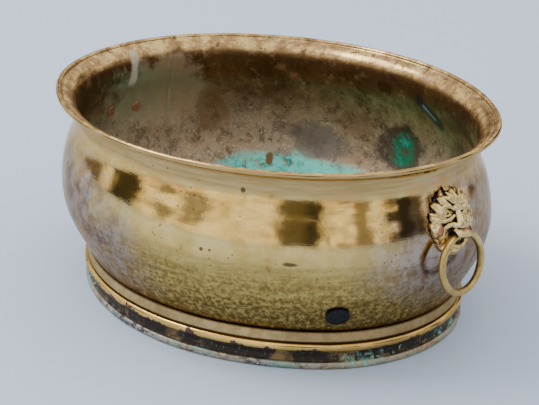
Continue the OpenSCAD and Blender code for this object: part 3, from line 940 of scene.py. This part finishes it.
class Clay:
    """A distance field over the mask's own space: u across, v up, h out of the wall, in millimetres."""

    def __init__(self, step):
        self.step = step
        self.u = np.arange(-27.5, 27.6, step, dtype=np.float32)
        self.v = np.arange(-28.0, 33.1, step, dtype=np.float32)
        self.h = np.arange(-1.2, 17.6, step, dtype=np.float32)
        self.field = np.full((len(self.u), len(self.v), len(self.h)), 9.0, np.float32)

    def window(self, low, high, margin):
        """The slices that hold a box, and the coordinates in it."""
        cut = []
        for axis, a, b in zip((self.u, self.v, self.h), low, high):
            first = np.searchsorted(axis, a - margin)
            last = np.searchsorted(axis, b + margin)
            cut.append(slice(first, max(last, first + 1)))
        u, v, h = self.u[cut[0]], self.v[cut[1]], self.h[cut[2]]
        return tuple(cut), u[:, None, None], v[None, :, None], h[None, None, :]

    def blend(self, cut, shape, soft, cutting):
        """Adds or cuts a shape, with a smooth joint of a given width."""
        here = self.field[cut]
        if cutting:
            here, shape = -here, shape
        gap = np.clip(0.5 + 0.5 * (shape - here) / soft, 0, 1)
        mixed = shape + (here - shape) * gap - soft * gap * (1 - gap)
        self.field[cut] = -mixed if cutting else mixed

    def lobe(self, at, radii, soft, cutting=False, lean=0.0):
        """An ellipsoid, perhaps turned in the mask's plane."""
        reach = max(radii)
        cut, u, v, h = self.window([c - reach for c in at], [c + reach for c in at], 2.5)
        t = math.radians(lean)
        du, dv = u - at[0], v - at[1]
        a = (du * math.cos(t) + dv * math.sin(t)) / radii[0]
        b = (dv * math.cos(t) - du * math.sin(t)) / radii[1]
        c = (h - at[2]) / radii[2]
        k = np.sqrt(a * a + b * b + c * c) + 1e-6
        self.blend(cut, (k - 1) * min(radii), soft, cutting)

    def strand(self, path, widths, soft, cutting=False):
        """A tapering round bar through a few points."""
        path = np.asarray(path, float)
        widths = np.asarray(widths, float)
        widest = widths.max()
        cut, u, v, h = self.window(path.min(0), path.max(0), widest + 1.5)
        best = None
        for p, q, a, b in zip(path[:-1], path[1:], widths[:-1], widths[1:]):
            d = q - p
            share = ((u - p[0]) * d[0] + (v - p[1]) * d[1] + (h - p[2]) * d[2]) / (d @ d)
            share = np.clip(share, 0, 1)
            gap = np.sqrt((u - p[0] - share * d[0]) ** 2 + (v - p[1] - share * d[1]) ** 2
                          + (h - p[2] - share * d[2]) ** 2) - (a + (b - a) * share)
            best = gap if best is None else np.minimum(best, gap)
        self.blend(cut, best.astype(np.float32), soft, cutting)

    def lobes(self, at, radii, soft, cutting=False, lean=0.0):
        """The same lobe on either side of the face."""
        for side in (-1, 1):
            self.lobe(np.array(at) * (side, 1, 1), radii, soft, cutting, side * lean)

    def strands(self, path, widths, soft, cutting=False):
        """The same strand on either side of the face."""
        for side in (-1, 1):
            self.strand(np.array(path) * (side, 1, 1), widths, soft, cutting)


def curl(base, direction, length, bend, rise, steps=5):
    """A lock's path: from its base it runs in a direction (degrees), bends, and sinks to the wall."""
    points = [np.array(base, float)]
    turn = direction
    for i in range(steps):
        turn += bend / steps
        step = np.array([math.cos(math.radians(turn)), math.sin(math.radians(turn)), 0]) * length / steps
        step[2] = rise[i + 1] - rise[i]
        points.append(points[-1] + step)
    return np.array(points)


def lock(clay, base, direction, length, bend, width, top, tip):
    """One lock of hair: three strands side by side that meet at its tip."""
    swell = (0.72, 1.0, 1.0, 0.85, 0.6, 0.28)
    across = direction + 90
    side = np.array([math.cos(math.radians(across)), math.sin(math.radians(across)), 0])
    for offset, share in ((0.0, 1.0), (-0.62, 0.78), (0.62, 0.78)):
        rise = np.linspace(top, tip, 6) + (0.25 if offset == 0 else 0) * width
        start = np.array([base[0], base[1], rise[0]]) + side * offset * width
        reach = length * (1.0 if offset == 0 else 0.9)
        path = curl(start, direction - offset * 10, reach, bend, rise)
        clay.strand(path, [width * share * 0.62 * s for s in swell], 0.35)


def sculpt_mane(clay):
    """Back plate, dome of the face, the mane's locks and the forelock."""
    clay.lobe((0, 2.0, -0.4), (mask_half_w - 2.6, mask_top - 3.2, 3.4), 0.5)
    clay.lobe((0, 3.0, 0.2), (18.5, 21.0, 6.4), 1.5)
    clay.lobe((0, -9.0, 1.0), (12.0, 13.0, 6.0), 1.5)
    # long outer locks that follow the outline
    for i, t in enumerate(np.arange(-14, 195, 23.0)):
        r = math.radians(t)
        reach_v = (mask_top - 10.0) if math.sin(r) > 0 else (mask_bottom - 8.5)
        base = ((mask_half_w - 8.4) * math.cos(r), reach_v * math.sin(r) + 0.5)
        bend = 34 if i % 2 else -26
        heading = math.degrees(math.atan2(math.sin(r) * 1.15, math.cos(r)))
        lock(clay, base, heading - bend * 0.45, 8.8, bend, 4.5, 3.9, 1.3)
    # shorter, higher locks between them
    for i, t in enumerate(np.arange(15, 170, 30.0)):
        r = math.radians(t)
        base = (13.0 * math.cos(r), 13.5 * math.sin(r) + 5.5)
        bend = -38 if i % 2 else 30
        heading = math.degrees(math.atan2(math.sin(r) * 1.2, math.cos(r)))
        lock(clay, base, heading - bend * 0.4, 8.2, bend, 4.0, 6.2, 3.6)
    # forelock: strands that rise from between the brows
    for side in (-1, 1):
        for path, widths in (
                ([(1.4, 14.5, 9.2), (2.6, 18, 9.6), (5.8, 22.5, 8.6), (9.5, 24.5, 6.4)],
                 [1.4, 2.0, 1.8, 0.9]),
                ([(1.3, 17.5, 9.6), (1.8, 22, 9.2), (4.0, 27.0, 6.2)], [1.5, 1.8, 0.8]),
                ([(5.0, 18.5, 8.6), (8.5, 21.0, 8.0), (12.5, 21.4, 6.0)], [1.6, 1.8, 0.9])):
            clay.strand(np.array(path) * (side, 1, 1), widths, 0.3)


def sculpt_eyes(clay):
    """Frown, brows, eyes and the long folds of the cheeks."""
    # two knots of the frown, and brows that arch out over the eyes
    clay.lobes((2.9, 14.2, 8.2), (2.3, 2.0, 2.4), 0.3, lean=30)
    clay.strands([(4.6, 13.2, 8.2), (8.4, 15.4, 8.2), (13.0, 14.8, 7.0), (17.4, 10.6, 4.8)],
                 [1.3, 1.8, 1.7, 1.0], 0.4)
    # eyes in their sockets, upper lids and the bags below
    clay.lobes((11.6, 10.2, 7.6), (4.4, 2.6, 2.0), 0.5, True, -14)
    clay.lobes((11.4, 10.2, 4.9), (3.2, 2.1, 2.1), 0.2, lean=-14)
    clay.strands([(7.2, 9.2, 6.2), (9.4, 11.8, 7.0), (12.4, 12.2, 6.6), (15.6, 9.6, 5.2)],
                 [0.6, 0.8, 0.8, 0.5], 0.2)
    clay.strands([(6.4, 8.8, 6.6), (9.6, 7.7, 6.6), (13.0, 7.4, 5.8), (16.2, 8.8, 4.8)],
                 [0.7, 0.9, 0.9, 0.6], 0.25)
    clay.lobes((11.3, 10.3, 7.0), (0.8, 0.8, 0.8), 0.2, True)
    # long folds of the cheeks, from the nose's bridge out and down
    clay.strands([(4.4, 8.4, 8.2), (8.4, 5.4, 7.8), (13.4, 3.6, 6.2), (18.6, 3.4, 4.2)],
                 [1.1, 1.5, 1.5, 0.9], 0.4)
    clay.strands([(6.2, 2.6, 9.4), (10.2, 1.2, 8.4), (13.0, -1.6, 6.4)], [1.4, 1.8, 1.3], 0.4)


def sculpt_nose_and_lip(clay):
    """Broad nose, and the upper lip that bars the ring's way."""
    clay.strand([(0, 13.0, 7.4), (0, 8.6, 8.8), (0, 4.4, 10.4)], [2.3, 2.9, 3.7], 0.7)
    clay.lobe((0, 2.0, 11.0), (5.2, 3.0, 3.0), 0.7)
    clay.lobes((4.8, 1.4, 9.6), (2.7, 2.4, 2.6), 0.3)
    clay.lobes((2.9, -0.3, 12.6), (1.2, 0.9, 1.6), 0.2, True)
    clay.strands([(7.6, 4.4, 9.4), (7.9, 1.6, 9.8), (6.6, -1.2, 10.6)], [0.5, 0.6, 0.5], 0.2, True)
    # the lip is a bar in front of the ring, cleft in the middle and dotted with whiskers
    front = pivot_x - wall_half(pivot_z) + lip_reach
    clay.lobes((3.6, -3.0, front - 3.6), (5.4, 2.5, 4.4), 0.5)
    clay.strand([(-8.4, -4.0, front - 2.6), (-4.6, -4.4, front - 0.4), (0, -4.2, front),
                 (4.6, -4.4, front - 0.4), (8.4, -4.0, front - 2.6)], [1.4, 1.8, 1.9, 1.8, 1.4], 0.4)
    clay.strand([(0, -1.0, front + 1.0), (0, -6.4, front + 1.9)], [0.5, 0.6], 0.3, True)
    clay.strand([(-8.4, -1.0, 11.6), (0, -1.2, 14.6), (8.4, -1.0, 11.6)], [0.5, 0.7, 0.5], 0.25, True)
    for row in range(3):
        whisker = (2.6 + 1.6 * row, -3.8 - 0.5 * (row % 2), front + 1.7 - 0.4 * row)
        clay.lobes(whisker, (0.4, 0.4, 0.7), 0.2, True)


def sculpt_jaws(clay):
    """Muzzle behind the lip, jaws, open mouth, side hair, the rivets' pads and the beard."""
    clay.lobe((0, -5.6, 5.4), (7.4, 6.6, 7.6), 1.0)
    clay.strands([(9.4, -6.0, 7.6), (8.6, -11.0, 8.2), (6.4, -15.0, 8.0)], [1.9, 1.8, 1.5], 0.4)
    clay.lobe((0, -10.4, 9.6), (6.2, 3.9, 7.6), 0.3, True)
    clay.strand([(-5.4, -14.2, 7.6), (0, -15.2, 9.0), (5.4, -14.2, 7.6)], [1.4, 1.8, 1.4], 0.4)
    clay.lobe((0, -18.0, 5.2), (5.0, 3.6, 3.8), 0.8)
    # knobs of hair down the sides, each apart from the next
    for curl_u, curl_v, size in ((21.0, -1.4, 3.1), (19.8, -7.6, 3.2), (17.0, -13.2, 3.1),
                                 (12.8, -18.2, 2.9)):
        clay.lobes((curl_u, curl_v, 1.6), (size, size * 0.92, size), 0.15)
        clay.lobes((curl_u, curl_v, 1.7 + size), (1.0, 0.8, 0.8), 0.3, True)
    # cheek pads under the rivets' ends
    clay.lobes((rivet_u, rivet_v, 1.4), (4.8, 4.8, 3.9), 0.4)
    # beard
    for side in (-1, 1):
        for base_u, base_v, heading, length, bend in (
                (9.4, -13.0, -66, 7.6, -24), (6.0, -16.0, -78, 7.4, -20), (3.0, -18.0, -86, 6.4, 16)):
            direction = heading if side > 0 else 180 - heading
            lock(clay, (side * base_u, base_v), direction, length, side * bend, 2.8, 5.0, 2.0)
    clay.strand([(0, -18.0, 8.4), (0.5, -20.8, 6.4), (-0.4, -23.4, 3.4)], [1.6, 1.5, 0.6], 0.3)


def sculpt_lion():
    """The lion's face, mane and beard, without the ring's way through it."""
    clay = Clay(clay_step)
    sculpt_mane(clay)
    sculpt_eyes(clay)
    sculpt_nose_and_lip(clay)
    sculpt_jaws(clay)
    return clay


def leaned(u, v, side):
    """Mask coordinates as a distance across and a height on the pot."""
    t = math.radians(mask_lean[side])
    return u * math.cos(t) + v * math.sin(t), mask_z - u * math.sin(t) + v * math.cos(t)


def carve_ring_way(clay, side):
    """The field with room for the ring through its whole swing, the rivets' shanks and the wall behind."""
    swing_in, swing_out = (math.radians(angle) for angle in ring_swing)
    u, v, h = clay.u[:, None, None], clay.v[None, :, None], clay.h[None, None, :]
    y, z = leaned(u, v, side)
    x = wall_half(z).astype(np.float32) + h
    out, down = x - pivot_x, pivot_z - z
    away = np.sqrt(out ** 2 + down ** 2)
    angle = np.arctan2(out, down)
    angle = np.where(angle < -math.pi / 2 - 0.2, angle + 2 * math.pi, angle)
    beyond = np.maximum(0, np.maximum(swing_in - angle, angle - swing_out))
    across = away * np.cos(np.minimum(beyond, math.pi))
    off = away * np.sin(np.minimum(beyond, math.pi / 2))
    wire = np.sqrt((np.sqrt(y ** 2 + (across - ring_r) ** 2) - ring_r) ** 2 + off ** 2) - ring_wire_r
    tunnel = away - (ring_wire_r + 1.5 + 0.05 * np.clip(np.abs(y) - 4.5, 0, 4) ** 2)
    tunnel = np.maximum(tunnel, np.abs(y) - 9.5)
    room = np.minimum(wire - ring_clearance, tunnel)
    field = np.maximum(clay.field, -room)
    for sign in (-1, 1):
        shank = np.sqrt((u - sign * rivet_u) ** 2 + (v - rivet_v) ** 2)
        seat = np.maximum(shank - 4.1, (rivet_seat - 0.1) - h)
        field = np.maximum(field, -np.minimum(seat, shank - 2.6))
    field = np.maximum(field, 0.14 - h)
    # the outline, narrower towards the beard
    up = v / np.where(v > 0, mask_top, mask_bottom)
    low = np.maximum(0, -np.sin(np.arctan2(up, u / mask_half_w)))
    r = np.sqrt((u / (mask_half_w * (1 - 0.22 * low))) ** 2 + up ** 2)
    field = np.maximum(field, (r - 1.0) * mask_bottom)
    return field.astype(np.float32)


def skin(field):
    """Surface nets: points (in grid steps) and quads where a field crosses zero."""
    inside = field < 0
    shape = np.array(field.shape)
    total = np.zeros((*(shape - 1), 3), np.float32)
    count = np.zeros(shape - 1, np.int32)
    crossings = []
    for axis in range(3):
        low = [slice(None)] * 3
        high = [slice(None)] * 3
        low[axis], high[axis] = slice(0, -1), slice(1, None)
        a, b = field[tuple(low)], field[tuple(high)]
        hit = np.argwhere(inside[tuple(low)] != inside[tuple(high)])
        fa, fb = a[tuple(hit.T)], b[tuple(hit.T)]
        at = hit.astype(np.float32)
        at[:, axis] += fa / (fa - fb)
        others = [k for k in range(3) if k != axis]
        for i in (0, 1):
            for j in (0, 1):
                cell = hit.copy()
                cell[:, others[0]] -= i
                cell[:, others[1]] -= j
                fits = np.all((cell >= 0) & (cell < shape - 1), axis=1)
                c = tuple(cell[fits].T)
                np.add.at(total, c, at[fits])
                np.add.at(count, c, 1)
        crossings.append((axis, hit, fa < 0))
    live = np.argwhere(count > 0)
    index = np.full(count.shape, -1, np.int64)
    index[tuple(live.T)] = np.arange(len(live))
    points = total[tuple(live.T)] / count[tuple(live.T)][:, None]
    quads = []
    for axis, hit, starts_inside in crossings:
        b, c = (axis + 1) % 3, (axis + 2) % 3
        fits = np.all((hit[:, [b, c]] > 0) & (hit[:, [b, c]] < shape[[b, c]] - 1), axis=1)
        hit, flip = hit[fits], starts_inside[fits]
        corners = []
        for i, j in ((1, 1), (0, 1), (0, 0), (1, 0)):
            cell = hit.copy()
            cell[:, b] -= i
            cell[:, c] -= j
            corners.append(index[tuple(cell.T)])
        quad = np.stack(corners, axis=1)
        quad[~flip] = quad[~flip][:, ::-1]
        quads.append(quad)
    return points, np.vstack(quads)


def make_mask(side, clay, metal):
    """One lion mask, bent to the end wall."""
    field = carve_ring_way(clay, side)
    steps, quads = skin(field)
    points = steps * clay.step + np.array([clay.u[0], clay.v[0], clay.h[0]])
    # how deep each point lies below the face around it
    surface = np.where(field < 0, clay.h[None, None, :], -1.0).max(axis=2)
    smooth = surface.copy()
    for _ in range(26):
        for axis in (0, 1):
            smooth = (smooth + np.roll(smooth, 1, axis) + np.roll(smooth, -1, axis)) / 3
    i = np.clip(steps[:, 0].astype(int), 0, len(clay.u) - 1)
    j = np.clip(steps[:, 1].astype(int), 0, len(clay.v) - 1)
    hollow = np.clip((smooth[i, j] - points[:, 2]) / 2.6 * 0.5 + 0.36, 0, 1)
    y, z = leaned(points[:, 0], points[:, 1], side)
    half = wall_half(z)
    turn = y / (half - centre)
    radius = half + points[:, 2] - centre
    placed = np.column_stack([centre + radius * np.cos(turn), radius * np.sin(turn), z])
    made = piece(f"mask_{side}_lion", moved(placed, at_end(side)), quads,
                 "pot", (f"mask_{side}",), (metal,))
    mark(made, "hollow", hollow)


# ---------------------------------------------------------------- studio

# the camera fitted to the photo: its right, up and back, its place in metres, its lens and sensor in mm
CAMERA_AXES = ((0.73257, 0.68030, 0.02307), (-0.27122, 0.26065, 0.92655), (0.62432, -0.68502, 0.37546))
CAMERA_PLACE = (0.901027, -0.991215, 0.619665)
CAMERA_LENS = 112.04
CAMERA_SENSOR = 36

FLOOR_REACH = 7.0
SKY_STRENGTH = 1.5

# dark walls round the studio: direction and half width, lowest and highest edge in degrees, brightness
STUDIO_WALLS = (
    (-165, 8, -3, 12, 0.22), (-140.5, 9.5, -6, 18, 0.05), (-116.5, 4.5, 2, 13, 0.28),
    (-104, 4, 4, 24, 0.30), (-97, 2.5, 8, 22, 0.22), (-53, 9.5, -6, 27, 0.12),
    (-47.5, 3, -6, 26, 0.04), (-19, 5, -6, 24, 0.26), (-31, 4, -1, 3, 0.22),
    (1, 3, 15, 25, 0.05), (1, 3, -4, 7, 0.07), (10.5, 6.5, -5, 27, 0.035),
    (21, 5, -4, 20, 0.10), (33, 4, -6, 14, 0.14), (52, 7, -5, 26, 0.05),
    (75, 5, -5, 18, 0.20), (96, 9, -6, 24, 0.05), (122, 5, -4, 20, 0.22),
    (142, 8, -6, 26, 0.05), (165, 5, -6, 16, 0.25))
WALL_BLUR = 0.012


def camera():
    """The camera, where the photo was taken from."""
    data = bpy.data.cameras.new("camera")
    data.sensor_width = CAMERA_SENSOR
    data.lens = CAMERA_LENS
    data.dof.use_dof = False
    made = bpy.data.objects.new("camera", data)
    made.matrix_world = Matrix.Translation(CAMERA_PLACE) @ Matrix(CAMERA_AXES).transposed().to_4x4()
    bpy.context.scene.collection.objects.link(made)
    bpy.context.scene.camera = made


def studio_floor():
    """A plain pale floor."""
    f = Finish("studio_floor", Roughness=0.85)
    f.colour = f.mix((0.50, 0.60, 0.76), (0.54, 0.63, 0.78), f.noise(1.6, 3.0, 0.5))
    mesh = bpy.data.meshes.new("studio_floor")
    corners = [(FLOOR_REACH * x, FLOOR_REACH * y, 0) for x, y in ((-1, -1), (1, -1), (1, 1), (-1, 1))]
    mesh.from_pydata(corners, [], [(0, 1, 2, 3)])
    mesh.materials.append(f.set(Base_Color=f.colour))
    made = bpy.data.objects.new("studio_floor", mesh)
    bpy.context.scene.collection.objects.link(made)


def studio_sky():
    """Soft light from all round, bright above, with dark walls and bright gaps near the horizon."""
    world = bpy.data.worlds.new("studio")
    bpy.context.scene.world = world
    world.use_nodes = True
    f = Nodes(world.node_tree, "Generated")
    x, y, z = f.axes()
    turn = f.stray(f.math("ARCTAN2", y, x), f.noise(9.0, 6.0, 0.5), 0.22)
    rise = f.stray(z, f.noise(6.0, 6.0, 0.5), 0.16)
    patches = f.fade(f.noise(13.0, 6.0, 0.5), 0.54, 0.56)
    wall = f.mix((1.0, 0.95, 0.84), (0.42, 0.41, 0.37), patches, 0.75)
    for direction, half_width, low, high, tone in STUDIO_WALLS:
        aside = f.math("ABSOLUTE", f.math("SUBTRACT", turn, math.radians(direction)))
        edge = math.radians(half_width)
        bottom, top = math.sin(math.radians(low)), math.sin(math.radians(high))
        here = f.times(f.fade(aside, edge + WALL_BLUR, edge - WALL_BLUR),
                       f.fade(rise, bottom - 0.01, bottom + 0.01),
                       f.fade(rise, top + WALL_BLUR, top - WALL_BLUR))
        wall = f.mix(wall, (tone, tone * 0.92, tone * 0.80), here)
    sky = f.mix((0.90, 0.94, 1.0), (1.0, 1.0, 1.0), f.fade(z, 0.3, 0.9))
    light = f.node("ShaderNodeBackground")
    light.inputs["Strength"].default_value = SKY_STRENGTH
    f.join(f.mix(wall, sky, f.fade(z, 0.46, 0.56)), light.inputs["Color"])
    f.join(light.outputs[0], f.node("ShaderNodeOutputWorld").inputs[0])


def softbox(name, where, towards, size, power):
    """A soft white area light that shines at a point."""
    data = bpy.data.lights.new(name, "AREA")
    data.shape = "RECTANGLE"
    data.size, data.size_y = size
    data.energy = power
    made = bpy.data.objects.new(name, data)
    made.location = where
    made.rotation_euler = (Vector(towards) - Vector(where)).to_track_quat("-Z", "Y").to_euler()
    bpy.context.scene.collection.objects.link(made)


# ---------------------------------------------------------------- build

make_wall()
make_foot()

floor_metal = floor_brass()
iron = wire_iron()
for node, metal in (("base_plate", floor_metal), ("rim_wire", iron), ("foot_wire", iron)):
    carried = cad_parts[node]
    carried.data.materials.clear()
    carried.data.materials.append(metal)

cast = cast_brass()
satin = ring_brass()
copper = rivet_copper()
lion = sculpt_lion()
for side in ("right", "left"):
    make_mask(side, lion, cast)
    make_ring(side, satin)
    for sign in (-1, 1):
        make_rivet(side, sign, copper)
make_plug(plug_rubber())

camera()
studio_floor()
studio_sky()
softbox("key", (-1.6, -1.0, 2.6), (0, 0, 0.1), (1.8, 1.2), 60)
